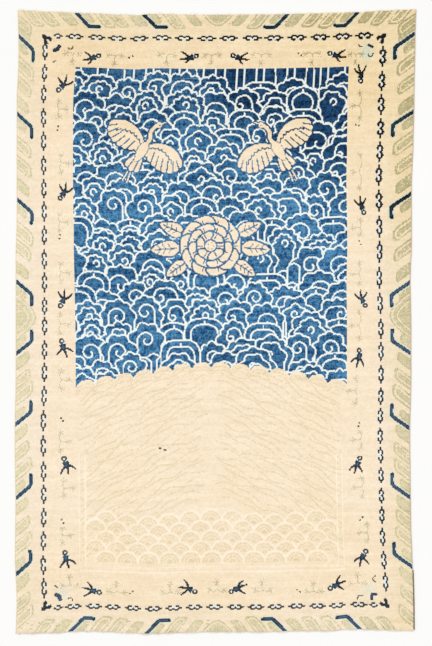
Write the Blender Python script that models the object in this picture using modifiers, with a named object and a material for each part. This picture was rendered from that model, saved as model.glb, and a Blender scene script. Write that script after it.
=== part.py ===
"""A Chinese hand-knotted rug, lying flat.

The rug is one woven sheet: wool pile knotted on cotton, a little wavy along all four edges, as a
hand-woven rug comes off the loom. At each end the cut warps stand out as a short comb, and near
one corner the side is whipped over with dark wool.

Lengths are in metres. +Y runs along the rug to its upper end, +X to its right side, +Z up.
"""

import math
import random
from collections import namedtuple

import bmesh
import bpy
from mathutils import Vector

# The true rectangle that the edges stray from, and the depth of foundation and pile together.
HALF_WIDTH = 0.767
HALF_LENGTH = 1.201
THICKNESS = 0.006
RIM_ROUNDING = 0.0015
PIECE_GAP = 0.0005

# The cut warps: tufts side by side on a narrow heading of loose weft.
TUFT_PITCH = 0.0155
TUFT_ROOT = 0.0105
TUFT_TIP = 0.0055
TUFT_LEAN = 0.0020
TUFT_SLANT = 0.9  # the right corner of a tuft's tip reaches this share of the left one's way
FRINGE_THICKNESS = 0.0020
HEADING_DEPTH = 0.0015
TOP_TUFT_LENGTHS = (0.0030, 0.0075)
BOTTOM_TUFT_LENGTHS = (0.0045, 0.0115)

# The whipped stretch of the right side, as shares of the side's length from the lower corner.
WHIPPING_RADIUS = 0.0025
WHIPPING_FROM = 0.002
WHIPPING_TO = 0.098
WHIPPING_POINTS = 20

# How many straight runs draw a side and an end.
SIDE_RUNS = 44
END_RUNS = 30

IVORY_WOOL = (0.92, 0.78, 0.57)
RAW_COTTON = (0.86, 0.76, 0.60)
BROWN_WOOL = (0.13, 0.08, 0.05)

# How far an edge strays outwards from the rectangle: share of the way along it, stray in metres.
# The sides run from the lower end to the upper end, and the ends from left to right.
Station = namedtuple("Station", "share stray")
LEFT_SIDE = (
    Station(0.00, 0.008), Station(0.05, 0.004), Station(0.12, 0.011), Station(0.20, 0.009),
    Station(0.33, 0.012), Station(0.41, 0.008), Station(0.61, 0.008), Station(0.66, 0.004),
    Station(0.85, 0.004), Station(0.93, -0.003), Station(1.00, 0.000),
)
RIGHT_SIDE = (
    Station(0.00, 0.004), Station(0.05, 0.003), Station(0.09, 0.000), Station(0.12, -0.004),
    Station(0.17, -0.009), Station(0.25, -0.011), Station(0.31, -0.013), Station(0.41, -0.008),
    Station(0.49, -0.008), Station(0.57, -0.011), Station(0.62, -0.006), Station(0.72, -0.006),
    Station(0.78, 0.000), Station(0.85, 0.004), Station(0.96, 0.008), Station(1.00, 0.012),
)
UPPER_END = (
    Station(0.00, 0.010), Station(0.11, 0.002), Station(0.18, -0.002), Station(0.24, -0.006),
    Station(0.29, -0.010), Station(0.34, -0.004), Station(0.46, -0.008), Station(0.61, -0.006),
    Station(0.77, -0.002), Station(0.84, 0.002), Station(0.94, 0.009), Station(1.00, 0.014),
)
LOWER_END = (
    Station(0.00, 0.004), Station(0.08, 0.002), Station(0.18, -0.006), Station(0.24, -0.002),
    Station(0.34, 0.006), Station(0.39, 0.002), Station(0.46, -0.002), Station(0.64, -0.002),
    Station(0.70, -0.006), Station(0.79, -0.006), Station(0.84, -0.013), Station(0.90, -0.010),
    Station(1.00, -0.006),
)


def stray(stations, share):
    """The edge's stray at this share of its length, eased from one station to the next."""
    share = min(max(share, 0.0), 1.0)
    for near, far in zip(stations, stations[1:]):
        if share <= far.share:
            way = (share - near.share) / (far.share - near.share)
            ease = way * way * (3 - 2 * way)
            return near.stray + (far.stray - near.stray) * ease
    return stations[-1].stray


def corner(right, upper):
    """A corner of the rug, named by the side and the end that meet there."""
    side = RIGHT_SIDE if right else LEFT_SIDE
    end = UPPER_END if upper else LOWER_END
    x = HALF_WIDTH + stray(side, 1.0 if upper else 0.0)
    y = HALF_LENGTH + stray(end, 1.0 if right else 0.0)
    return Vector((x if right else -x, y if upper else -y))


def side_point(right, share):
    """A point on the left or right side, share of the way from the lower corner to the upper."""
    low, high = corner(right, False), corner(right, True)
    x = HALF_WIDTH + stray(RIGHT_SIDE if right else LEFT_SIDE, share)
    return Vector((x if right else -x, low.y + (high.y - low.y) * share))


def end_point(upper, share):
    """A point on the upper or lower end, share of the way from the left corner to the right."""
    left, right = corner(False, upper), corner(True, upper)
    y = HALF_LENGTH + stray(UPPER_END if upper else LOWER_END, share)
    return Vector((left.x + (right.x - left.x) * share, y if upper else -y))


def rug_outline():
    """The rug's outline, anticlockwise from the lower left corner."""
    points = [end_point(False, i / END_RUNS) for i in range(END_RUNS)]
    points += [side_point(True, i / SIDE_RUNS) for i in range(SIDE_RUNS)]
    points += [end_point(True, 1 - i / END_RUNS) for i in range(END_RUNS)]
    points += [side_point(False, 1 - i / SIDE_RUNS) for i in range(SIDE_RUNS)]
    return points


def straight_run(point, count, share):
    """A place on the outline at this share of an edge that is drawn with count straight runs."""
    near = min(math.floor(share * count), count - 1)
    return point(near / count).lerp(point((near + 1) / count), share * count - near)


def right_edge(share):
    """A place on the outline's right side."""
    return straight_run(lambda s: side_point(True, s), SIDE_RUNS, share)


def end_edge(upper, share):
    """A place on the outline's upper or lower end."""
    return straight_run(lambda s: end_point(upper, s), END_RUNS, share)


def whipping_route():
    """The middle line of the whipped stretch, just outside the right side."""
    points = []
    for i in range(WHIPPING_POINTS):
        share = WHIPPING_FROM + (WHIPPING_TO - WHIPPING_FROM) * i / (WHIPPING_POINTS - 1)
        edge = right_edge(share)
        points.append(Vector((edge.x + PIECE_GAP + WHIPPING_RADIUS, edge.y, WHIPPING_RADIUS)))
    return points


def yarn(name, colour):
    """A matt yarn material."""
    material = bpy.data.materials.new(name)
    material.use_nodes = True
    shader = material.node_tree.nodes["Principled BSDF"]
    shader.inputs["Base Color"].default_value = (*colour, 1.0)
    shader.inputs["Roughness"].default_value = 0.95
    shader.inputs["Metallic"].default_value = 0.0
    return material


def add_spline(curve, points, cyclic):
    """One straight-sided spline through the points."""
    spline = curve.splines.new("POLY")
    spline.points.add(len(points) - 1)
    for place, point in zip(spline.points, points):
        place.co = (*point.to_3d(), 1.0)
    spline.use_cyclic_u = cyclic


def add_part(name, data, material, parent, collection):
    """One named sub-part."""
    data.materials.append(material)
    part = bpy.data.objects.new(name, data)
    part.parent = parent
    collection.objects.link(part)
    return part


def weld_caps(part):
    """Joins a curve's loose caps to its walls."""
    weld = part.modifiers.new("Weld caps", "WELD")
    weld.merge_threshold = 0.00001


def add_rug_body(parent, collection):
    """Foundation and pile, woven in one piece, with the pile rounded over at the rim."""
    ivory = yarn("ivory_wool_pile", IVORY_WOOL)
    curve = bpy.data.curves.new("rug_body", "CURVE")
    curve.dimensions = "2D"
    curve.fill_mode = "BOTH"
    curve.extrude = THICKNESS / 2
    add_spline(curve, rug_outline(), cyclic=True)
    body = add_part("rug_body", curve, ivory, parent, collection)
    body.location.z = THICKNESS / 2
    weld_caps(body)
    rim = body.modifiers.new("Rounded rim", "BEVEL")
    rim.width = RIM_ROUNDING
    rim.segments = 2
    rim.limit_method = "ANGLE"
    rim.angle_limit = math.radians(60)


def tuft_roots(width):
    """Where the heading's straight runs meet, as shares of the end: two roots for each tuft."""
    tufts = int(width / TUFT_PITCH)
    spare = (width - tufts * TUFT_PITCH) / 2
    roots = [0.0]
    for i in range(tufts):
        middle = spare + (i + 0.5) * TUFT_PITCH
        roots += [(middle - TUFT_ROOT / 2) / width, (middle + TUFT_ROOT / 2) / width]
    return roots + [1.0]


def draw_out_tuft(comb, root, out, length, lean):
    """Draws a tuft outwards from its root, an edge of the heading, narrower at the tip."""
    drawn = bmesh.ops.extrude_edge_only(comb, edges=[root])["geom"]
    corners = [item for item in drawn if isinstance(item, bmesh.types.BMVert)]
    left, right = sorted(corners, key=lambda v: v.co.x)
    narrowing = (TUFT_ROOT - TUFT_TIP) / 2
    left.co += out * length + Vector((lean + narrowing, 0, 0))
    right.co += out * length * TUFT_SLANT + Vector((lean - narrowing, 0, 0))


def comb_mesh(upper, lengths, seed):
    """A heading of loose weft along one end, with the tufts that stand out from it."""
    chance = random.Random(seed)
    out = Vector((0, 1 if upper else -1, 0))
    roots = tuft_roots((corner(True, upper) - corner(False, upper)).x)

    comb = bmesh.new()
    bmesh.ops.create_grid(comb, x_segments=len(roots) - 1, y_segments=1, size=0.5)
    by_row = sorted(comb.verts, key=lambda v: (v.co.y > 0, v.co.x))
    inner, outer = by_row[: len(roots)], by_row[len(roots):]
    for near, far, share in zip(inner, outer, roots):
        near.co = end_edge(upper, share).to_3d() + out * PIECE_GAP
        far.co = near.co + out * HEADING_DEPTH
    for left, right in zip(outer[1:-1:2], outer[2:-1:2]):
        root = next(edge for edge in left.link_edges if edge.other_vert(left) is right)
        length = chance.uniform(*lengths)
        draw_out_tuft(comb, root, out, length, chance.uniform(-TUFT_LEAN, TUFT_LEAN))

    bmesh.ops.recalc_face_normals(comb, faces=comb.faces)
    comb.faces.ensure_lookup_table()
    if comb.faces[0].normal.z < 0:
        bmesh.ops.reverse_faces(comb, faces=comb.faces)
    mesh = bpy.data.meshes.new("comb")
    comb.to_mesh(mesh)
    comb.free()
    return mesh


def add_fringes(parent, collection):
    """The combs of cut warps, lying on the floor: the lower one is the longer."""
    cotton = yarn("cotton_warp_ends", RAW_COTTON)
    for name, upper, lengths, seed in (
        ("fringe_top", True, TOP_TUFT_LENGTHS, 3),
        ("fringe_bottom", False, BOTTOM_TUFT_LENGTHS, 8),
    ):
        fringe = add_part(name, comb_mesh(upper, lengths, seed), cotton, parent, collection)
        thick = fringe.modifiers.new("Thickness of the warps", "SOLIDIFY")
        thick.thickness = FRINGE_THICKNESS
        thick.offset = 1.0


def add_whipping(parent, collection):
    """The round of dark wool whipped over the side near the lower right corner."""
    brown = yarn("brown_wool_whipping", BROWN_WOOL)
    curve = bpy.data.curves.new("side_whipping", "CURVE")
    curve.dimensions = "3D"
    curve.bevel_depth = WHIPPING_RADIUS
    curve.bevel_resolution = 2
    curve.use_fill_caps = True
    add_spline(curve, whipping_route(), cyclic=False)
    whipping = add_part("side_whipping", curve, brown, parent, collection)
    weld_caps(whipping)


def centre_on_origin(rug):
    """Moves the whole rug so that its box is centred over the origin."""
    bpy.context.view_layer.update()
    ready = bpy.context.evaluated_depsgraph_get()
    places = []
    for part in rug.children:
        shown = part.evaluated_get(ready)
        places += [shown.matrix_world @ vertex.co for vertex in shown.to_mesh().vertices]
        shown.to_mesh_clear()
    for axis in (0, 1):
        reach = [place[axis] for place in places]
        rug.location[axis] -= (min(reach) + max(reach)) / 2
    bpy.context.view_layer.update()


def build():
    for old in list(bpy.data.objects):
        bpy.data.objects.remove(old, do_unlink=True)
    collection = bpy.data.collections.new("chinese_rug")
    bpy.context.scene.collection.children.link(collection)
    rug = bpy.data.objects.new("chinese_rug_origin", None)
    collection.objects.link(rug)
    add_rug_body(rug, collection)
    add_fringes(rug, collection)
    add_whipping(rug, collection)
    centre_on_origin(rug)


build()
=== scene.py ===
"""Looks of a Chinese hand-knotted rug: wool pile on a cotton foundation, seen lying face up.

The rug is charted as a weaver charts it, one dye for each knot, and every knot is a face of the
pile. The pattern is drawn in millimetres from the middle of the rug, x to the right and y towards
the upper end, and then laid on the uneven outline of the CAD rug. Everything else is in metres.
"""

import math
import random
from collections import namedtuple

import bmesh
import bpy
import numpy as np
from mathutils import Matrix, Vector


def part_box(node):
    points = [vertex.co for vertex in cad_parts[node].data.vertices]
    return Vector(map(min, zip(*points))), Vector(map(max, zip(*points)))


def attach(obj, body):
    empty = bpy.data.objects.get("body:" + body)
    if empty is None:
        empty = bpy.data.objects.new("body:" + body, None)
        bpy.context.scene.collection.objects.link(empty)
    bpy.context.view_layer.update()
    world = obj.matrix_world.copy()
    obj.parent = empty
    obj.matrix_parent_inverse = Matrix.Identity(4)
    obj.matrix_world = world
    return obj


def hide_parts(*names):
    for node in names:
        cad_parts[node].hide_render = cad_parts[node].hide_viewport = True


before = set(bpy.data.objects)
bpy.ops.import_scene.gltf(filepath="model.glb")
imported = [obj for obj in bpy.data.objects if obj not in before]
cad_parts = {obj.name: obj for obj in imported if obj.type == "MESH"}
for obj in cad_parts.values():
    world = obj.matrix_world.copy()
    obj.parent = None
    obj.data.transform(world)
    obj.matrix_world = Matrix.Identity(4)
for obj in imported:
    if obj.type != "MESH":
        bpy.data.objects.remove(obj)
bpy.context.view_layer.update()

# ------------------------------------------------------------------------------- the knot chart

KNOT = 3.6
COLUMNS = 426
ROWS = 667
HALF_WIDTH = COLUMNS * KNOT / 2
HALF_LENGTH = ROWS * KNOT / 2

# Where the zones of the pattern lie.
FIELD_LEFT = -541
FIELD_RIGHT = 520
FIELD_TOP = 989
FIELD_BOTTOM = -981
GUARD_X = 655
GUARD_Y = 1103
GUARD_DEPTH = 28
PILE_SPLIT_Y = -150

LINE = 6.9  # two knots
FINE_LINE = 4.4  # one knot
THIN_LINE = 3.1  # one knot, broken here and there

DYES = (
    "ivory", "border_cream", "indigo", "cloud_cream", "water_tan", "sage", "dark_sage",
    "navy", "brown_black", "pale_blue", "grey_green", "halo", "pale_ivory", "mid_blue", "worn_tan",
)
(IVORY, BORDER_CREAM, INDIGO, CLOUD_CREAM, WATER_TAN, SAGE, DARK_SAGE,
 NAVY, BROWN_BLACK, PALE_BLUE, GREY_GREEN, HALO, PALE_IVORY, MID_BLUE, WORN_TAN) = range(len(DYES))

chart = np.full((ROWS, COLUMNS), BORDER_CREAM, np.uint8)
column_x = (np.arange(COLUMNS) + 0.5) * KNOT - HALF_WIDTH
row_y = (np.arange(ROWS) + 0.5) * KNOT - HALF_LENGTH
chance = random.Random(11)
wear = np.random.default_rng(12)

# A motif is drawn in its own right and up directions, and stands somewhere on the chart.
Place = namedtuple("Place", "origin right up")


def stand(place, points):
    """Points of a motif, as points of the chart."""
    points = np.asarray(points, float)
    across = points[:, :1] * np.array(place.right, float)
    return np.array(place.origin, float) + across + points[:, 1:] * np.array(place.up, float)


def turned(x, y, degrees=0.0, mirror=False):
    """A place at x, y, turned anticlockwise, or mirrored first."""
    cos, sin = math.cos(math.radians(degrees)), math.sin(math.radians(degrees))
    right = (-cos, -sin) if mirror else (cos, sin)
    return Place((x, y), right, (-sin, cos))


def reached(points, margin):
    """The rows and columns of the chart that these points reach, with a margin."""
    low = points.min(axis=0) - margin
    high = points.max(axis=0) + margin
    columns = slice(*np.searchsorted(column_x, (low[0], high[0])))
    rows = slice(*np.searchsorted(row_y, (low[1], high[1])))
    return rows, columns


def dye_knots(rows, columns, chosen, dye, over):
    """Dyes the chosen knots, where over is None or has their present dye."""
    part = chart[rows, columns]
    if over is not None:
        chosen = chosen & np.isin(part, over)
    part[chosen] = dye


def knot_line(points, width, dye, over=None):
    """Knots a line of this width through the points."""
    points = np.asarray(points, float)
    rows, columns = reached(points, width)
    x, y = np.meshgrid(column_x[columns], row_y[rows])
    near = np.zeros(x.shape, bool)
    for start, end in zip(points, points[1:]):
        step = end - start
        way = ((x - start[0]) * step[0] + (y - start[1]) * step[1]) / max(step @ step, 1e-9)
        way = np.clip(way, 0, 1)
        away = np.hypot(x - start[0] - way * step[0], y - start[1] - way * step[1])
        near |= away <= width / 2
    dye_knots(rows, columns, near, dye, over)


def knot_area(outline, dye, over=None):
    """Knots the area inside a closed outline."""
    outline = np.asarray(outline, float)
    rows, columns = reached(outline, 0)
    x, y = np.meshgrid(column_x[columns], row_y[rows])
    inside = np.zeros(x.shape, bool)
    for start, end in zip(outline, np.roll(outline, -1, axis=0)):
        if start[1] == end[1]:
            continue
        crosses = (start[1] > y) != (end[1] > y)
        at = start[0] + (y - start[1]) * (end[0] - start[0]) / (end[1] - start[1])
        inside ^= crosses & (x < at)
    dye_knots(rows, columns, inside, dye, over)


def stroke(place, points, width, dye, over=None):
    """Knots a line of a motif."""
    knot_line(stand(place, points), width, dye, over)


def fill(place, outline, dye, over=None):
    """Knots an area of a motif."""
    knot_area(stand(place, outline), dye, over)


def knot_disc(place, centre, radius, dye, over=None):
    """Knots a round spot of a motif."""
    stroke(place, [centre, centre], 2 * radius, dye, over)


def curve(points, steps=6):
    """A smooth line through these points."""
    points = np.asarray(points, float)
    first, last = 2 * points[0] - points[1], 2 * points[-1] - points[-2]
    padded = np.vstack((first, points, last))
    line = []
    for before, near, far, after in zip(padded, padded[1:], padded[2:], padded[3:]):
        for t in np.arange(steps) / steps:
            bend = (2 * before - 5 * near + 4 * far - after) * t * t
            swing = (3 * near - before - 3 * far + after) * t ** 3
            line.append((2 * near + (far - before) * t + bend + swing) / 2)
    line.append(points[-1])
    return np.array(line)


def spiral(centre, radii, degrees, steps):
    """A line that winds round a centre, from one radius and angle to another."""
    angle = np.radians(np.linspace(*degrees, steps))
    radius = np.linspace(*radii, steps)
    return np.column_stack((centre[0] + radius * np.cos(angle), centre[1] + radius * np.sin(angle)))


def scallops(cusps, bulge):
    """Round lobes side by side, each from one cusp to the next, without the last cusp."""
    line = []
    for near, far in zip(cusps, cusps[1:]):
        across = far - near
        out = np.array((-across[1], across[0]))
        for t in np.arange(6) / 6:
            line.append(near + across * t + out * 4 * bulge * t * (1 - t))
    return line


def lobes(width, height, count, bulge, uneven=0.0):
    """A scalloped dome: round lobes side by side on half an ellipse, from left to right."""
    angles = np.linspace(math.pi, 0, count + 1)
    angles[1:-1] += [chance.uniform(-uneven, uneven) for _ in range(count - 1)]
    cusps = np.column_stack((np.cos(angles) * width / 2, np.sin(angles) * height))
    return np.array([*scallops(cusps, bulge), cusps[-1]])


# ------------------------------------------------------------------------------ the outer border

# A side of the rug: a place whose right runs along it and whose up points inwards.
SIDES = {
    "left": Place((-HALF_WIDTH, 0), (0, 1), (1, 0)),
    "right": Place((HALF_WIDTH, 0), (0, 1), (-1, 0)),
    "top": Place((0, HALF_LENGTH), (1, 0), (0, -1)),
    "bottom": Place((0, -HALF_LENGTH), (1, 0), (0, 1)),
}
# Where the dark hooks start from the edge: first the upper or right half, then the other half.
# In each half they point towards the middle of their side.
HOOK_FEET = {
    "left": ((154, 469, 799, 1095), (-124, -397, -680, -974)),
    "right": ((143, 485, 803, 1100), (-128, -418, -685, -953)),
    "top": ((278, 549), (-538, -279)),
    "bottom": ((268, 555), (-562, -271)),
}
HOOK_REACH = {"left": 61, "right": 70, "top": 55, "bottom": 51}
HOOK_WIDTH = 14
HOOK_HALO = 8  # how much wider than a hook the pale haze round it is
CORE_INSET = 7  # how much narrower than a dark line its blue middle is
# Each dome's middle along its side, its width, its height and how many half rounds it has.
DOMES = {
    "left": (17, 176, 76, 2), "right": (17, 180, 76, 2),
    "top": (9, 116, 46, 1), "bottom": (5, 116, 44, 1),
}
DOME_PROFILE = (
    (-0.5, 0), (-0.36, 0.42), (-0.16, 0.86), (0, 1), (0.16, 0.86), (0.36, 0.42), (0.5, 0),
)
FIN_REACH = 64  # how far in from the edge a fin of size 1 reaches
FIN_HATCH = 6.6
# Fins from one hook to the next: how far along, their size, and how wide their cream ring is.
FINS = ((0.24, 0.80, 0), (0.50, 0.90, FINE_LINE), (0.75, 1.0, LINE))
DOME_FINS = ((0.44, 0.72, 0), (0.74, 0.98, FINE_LINE))  # from an end's dome to its first hook
END_FIN_SIZE = 0.95  # of the fins at the two ends of the rug, beside those of the sides
PAST_CORNER = 55  # the last gap of a side ends this far past the corner
CORNER_ROOM = 8
FOOT_FIN = 0.56
FOOT_FIN_AWAY = 17


def side_place(side, along, half=1, depth=0):
    """A place this far in from the edge; half is 1 where its motif points down or left, else -1."""
    base = SIDES[side]
    right, up = np.array(base.right, float), np.array(base.up, float)
    return Place(np.array(base.origin, float) + along * right + depth * up, -half * right, base.up)


def knot_hook(place, reach):
    """A dark bar that slants in from the edge and bends to run beside it, bluer in its middle."""
    bar = [(-8, -10), (42, reach - 8), (49, reach - 2)]
    leg = curve([(49, reach - 2), (60, reach), (75, reach), (88, reach - chance.uniform(0, 4))])
    line = stand(place, np.vstack((bar, leg)))
    knot_line(line, HOOK_WIDTH + HOOK_HALO, HALO)
    knot_line(line, HOOK_WIDTH, NAVY)
    knot_line(line[:-3], HOOK_WIDTH - CORE_INSET, MID_BLUE)


def knot_fin(place, size, ring_width=0):
    """A sage finger that slants in from the edge, hatched, with a cream ring inside where asked."""
    def outline(inset):
        tip = FIN_REACH * size - inset
        bend = (34 * size + inset * 0.4, 46 * size - inset)
        shoulder = (57 * size, tip)
        return np.vstack((
            [(-4 + inset, -6), bend],
            curve([bend, (44 * size, 55 * size - inset), shoulder], 4),
            curve([shoulder, (86 * size - inset, tip - 1), (92 * size - inset, tip - 6)], 4),
            [(46 * size - inset * 1.3, -6)],
        ))

    fill(place, outline(0), SAGE, (BORDER_CREAM,))
    stroke(place, outline(0), LINE, DARK_SAGE, (BORDER_CREAM, SAGE))
    if ring_width:
        stroke(place, outline(8), ring_width, BORDER_CREAM, (SAGE, DARK_SAGE))
        stroke(place, outline(14), FINE_LINE, DARK_SAGE, (SAGE,))
    for hatch in range(3, 15, 3):
        if chance.random() < 0.7:
            at = hatch * FIN_HATCH * size
            stroke(place, [(at, -4), (at + 14, 30 * size)], THIN_LINE, DARK_SAGE, (SAGE,))


def knot_dome(place, width, height, rings):
    """A sage half round on the edge, in the middle of a side, in rings."""
    for ring in range(rings):
        half_round = curve(np.array(DOME_PROFILE) * (width, height), 4) * (1 - 0.3 * ring)
        fill(place, half_round, SAGE, (BORDER_CREAM, SAGE, DARK_SAGE))
        stroke(place, half_round, FINE_LINE, DARK_SAGE, (BORDER_CREAM, SAGE))
        stroke(place, half_round * (1 - 7 / height), FINE_LINE, BORDER_CREAM, (SAGE, DARK_SAGE))
    for hatch in range(-5, 6):
        at = hatch * width / 12
        stroke(place, [(at, 0), (at, height * 0.5)], THIN_LINE, DARK_SAGE, (SAGE,))


def fade_knots(dye, towards, least, most):
    """Worn knots: a share of one dye's knots, more in some patches, is as pale as another dye."""
    column, row = np.meshgrid(np.arange(COLUMNS), np.arange(ROWS))
    waves = np.sin(column / 9 + np.sin(row / 17)) + np.sin(row / 7 + np.sin(column / 13))
    patches = 0.5 + 0.25 * waves
    worn = wear.random(chart.shape) < least + (most - least) * patches
    chart[(chart == dye) & worn] = towards


def knot_side_fins(side, half, feet):
    """The fins of one half of a side, between its hooks and at the hooks' feet."""
    upright = side in ("left", "right")
    size = 1.0 if upright else END_FIN_SIZE
    corner = HALF_LENGTH if upright else HALF_WIDTH
    middle = DOMES[side][0]
    starts = feet + [half * (corner + PAST_CORNER)]
    for near, far in zip(starts, starts[1:]):
        for share, part, ring_width in FINS:
            along = near + (far - near) * share + chance.uniform(-6, 6)
            if abs(along) < corner - CORNER_ROOM:
                part *= chance.uniform(0.9, 1.04)
                knot_fin(side_place(side, along, half), size * part, ring_width)
    if not upright:
        for share, part, ring_width in DOME_FINS:
            along = middle + (feet[0] - middle) * share
            knot_fin(side_place(side, along, half), size * part, ring_width)
    for foot in feet:
        knot_fin(side_place(side, foot - half * FOOT_FIN_AWAY, half), FOOT_FIN)


def knot_outer_border():
    """Hooks with sage fins between them, pointing to a dome in the middle of each side."""
    for side, halves in HOOK_FEET.items():
        for half, feet in zip((1, -1), halves):
            knot_side_fins(side, half, sorted(feet, key=abs))
    for side, (middle, width, height, rings) in DOMES.items():
        knot_dome(side_place(side, middle), width, height, rings)
    fade_knots(DARK_SAGE, SAGE, 0.3, 0.8)
    fade_knots(SAGE, BORDER_CREAM, 0.0, 0.15)
    for side, halves in HOOK_FEET.items():
        for half, feet in zip((1, -1), halves):
            for foot in feet:
                knot_hook(side_place(side, foot, half), HOOK_REACH[side])


# ------------------------------------------------------------------------- the chain guard stripe

# A link's middle line from one stem to the other, one of its curls, and the pale eye of a curl.
LINK_SPINE = (
    (-24, 0), (-20, -6.2), (-12, -7.8), (-4, -5), (0, -1.5), (4, -5), (12, -7.8), (20, -6.2), (24, 0),
)
LINK_CURL = ((24, 0), (21, 6.2), (15, 8), (10, 7))
LINK_EYE = ((8, 0.5), (17, 0.5))
EYE_WIDTH = 12
LINK_PITCH = 90  # of a link whose curls have their full width
LINK_STROKE = 6.3
STEM_WIDTH = 5.6
LINK_GAP = 18
# Where some of each side's links stand, by their number from the lower or left end.
LINKS = {
    "left": ((0, -1028), (5, -577), (8, -286), (11, -17), (12, 62), (21, 879), (23, 1044)),
    "right": ((0, -1015), (3, -755), (9, -296), (12, -35), (18, 560), (23, 1019)),
    "top": ((0, -543), (2, -381), (7, 52), (13, 578)),
    "bottom": ((0, -551), (3, -324), (7, -6), (14, 548)),
}
STUB_AT = 37  # where the half link beside a corner stands, from the corner of the chain
STUB_PITCH = 0.81 * LINK_PITCH
# How much bolder the chain is at the upper or right end of a side, from BOLD_FROM on over BOLD_RUN.
BOLDER = {"right": 0.3, "top": 0.36}
BOLD_FROM = -100
BOLD_RUN = 600
CORNER_HOOK = (((2, 0), (13, -2), (23, 3), (22, 9)), ((12, 1), (17, 6)))
CORNER_STROKE = 7


def guard_place(side, along):
    """A place on the guard stripe's middle line."""
    depth = HALF_WIDTH - GUARD_X if side in ("left", "right") else HALF_LENGTH - GUARD_Y
    return side_place(side, along, depth=depth)


def knot_link(place, pitch, dye, weight=1.0, hands=(-1, 1)):
    """One link of the chain: two curls that open to the field, with a stem at either end."""
    size = np.array((pitch / LINK_PITCH, (1 + weight) / 2))
    spine = curve(np.array(LINK_SPINE) * size, 3)
    stem_end = (pitch - LINK_GAP) / 2
    for hand in hands:
        stroke(place, np.array(LINK_EYE) * size * (hand, 1), EYE_WIDTH, CLOUD_CREAM)
    for hand in hands:
        mirror = np.array((hand, 1))
        stem = np.array(((LINK_SPINE[-1][0] * size[0], 0), (stem_end, 0)))
        curl = curve(np.array(LINK_CURL) * size, 3)
        stroke(place, spine[len(spine) // 2:] * mirror, LINK_STROKE * weight, dye)
        stroke(place, curl * mirror, LINK_STROKE * weight, dye)
        stroke(place, stem * mirror, STEM_WIDTH * weight, dye)


def knot_guard_corner(x_way, y_way):
    """A dark bud at a corner of the chain with a hook along each side."""
    y = y_way * (GUARD_Y - (8 if y_way > 0 else 0))
    place = Place((x_way * GUARD_X, y), (-x_way, 0), (0, -y_way))
    knot_disc(place, (-3, -4), 9, NAVY)
    knot_disc(place, (3, 2), 8, NAVY)
    for flip in (False, True):
        for line in CORNER_HOOK:
            points = np.array(line, float)
            points = points[:, ::-1] if flip else points
            stroke(place, curve(points, 4), CORNER_STROKE, NAVY)


def knot_guard_stripe():
    """The chain of links between the two borders, bolder towards its upper right corner."""
    for side, marks in LINKS.items():
        numbers = np.arange(marks[-1][0] + 1)
        places = np.interp(numbers, *zip(*marks))
        for along, pitch in zip(places, np.gradient(places)):
            bolder = min(max((along - BOLD_FROM) / BOLD_RUN, 0), 1) * BOLDER.get(side, 0)
            dye = NAVY if side == "right" else BROWN_BLACK
            knot_link(guard_place(side, along + chance.uniform(-2, 2)), pitch, dye, 1 + bolder)
    for x_way, y_way in ((-1, 1), (-1, -1), (1, -1)):
        stub = guard_place("top" if y_way > 0 else "bottom", x_way * (GUARD_X - STUB_AT))
        knot_link(stub, STUB_PITCH, BROWN_BLACK, hands=(x_way,))
    for x_way in (-1, 1):
        for y_way in (-1, 1):
            knot_guard_corner(x_way, y_way)


# ------------------------------------------------------------------------------ the inner border

# What stands along each side: its place along it and how far in from the edge. Then comes how many
# degrees a bird's head leans or a pair of dots slants, or a branch's half width.
BIRDS = {
    "left": ((916, 187, -42), (499, 193, -38), (85, 185, -27), (-99, 182, -14),
             (-554, 196, -17), (-919, 194, -9)),
    "right": ((956, 197, 2), (443, 186, -19), (80, 186, -27), (-143, 198, 3),
              (-559, 205, -24), (-919, 195, -32)),
    "top": ((-477, 177, -19), (-99, 171, -14), (91, 173, -20), (467, 171, -22)),
    "bottom": ((-479, 158, -12), (-105, 170, -27), (81, 170, -28), (466, 177, -25)),
}
DOTS = {
    "left": ((750, 168, -6), (331, 172, -8), (-378, 180, 35), (-773, 180, 25)),
    "right": ((759, 207, -76), (302, 194, -20), (-406, 197, 10), (-771, 192, 40)),
    "top": ((-328, 166, 19), (327, 162, -45)), "bottom": ((-329, 157, -32), (319, 156, 34)),
}
SPRIGS = {
    "left": ((824, 169, 30), (615, 178, 33), (386, 170, 31), (192, 173, 34),
             (-8, 168, 36), (-225, 171, 33), (-463, 173, 33), (-644, 184, 28),
             (-828, 178, 30)),
    "right": ((835, 195, 49), (578, 189, 65), (360, 191, 30), (181, 193, 40),
              (-19, 195, 52), (-272, 209, 50), (-464, 188, 31), (-648, 185, 37),
              (-824, 169, 33)),
    "top": ((-552, 160, 24), (-390, 163, 27), (-188, 160, 27), (-15, 159, 29),
            (177, 159, 30), (375, 159, 27), (545, 165, 24)),
    "bottom": ((-563, 178, 27), (-385, 154, 31), (-177, 156, 31), (4, 160, 31),
               (180, 159, 31), (377, 152, 30), (549, 178, 26)),
}
SPRIG_BAR = ((-1, 1), (-0.5, -1), (0, 1), (0.5, -1), (1, 1))
SPRIG_STEM = 33
SPRIG_RAY = 12
# A bird's two wings and tail: how far each swings from straight back, and how much it bends.
BIRD_LIMBS = ((-42, -7), (18, 5), (72, 15))
BIRD_BODY = ((17, -12.5), (17, 12.5), (8, 10.5), (-6, 6), (-6, -6), (8, -10.5))
HEAD_AT = 28.5
TOP_UNDER_WING = 0.68  # how long the last limb is on the birds of the upper end


def tilted(place, degrees):
    """The same place turned on itself."""
    right, up = np.array(place.right, float), np.array(place.up, float)
    cos, sin = math.cos(math.radians(degrees)), math.sin(math.radians(degrees))
    return Place(place.origin, right * cos + up * sin, up * cos - right * sin)


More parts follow.
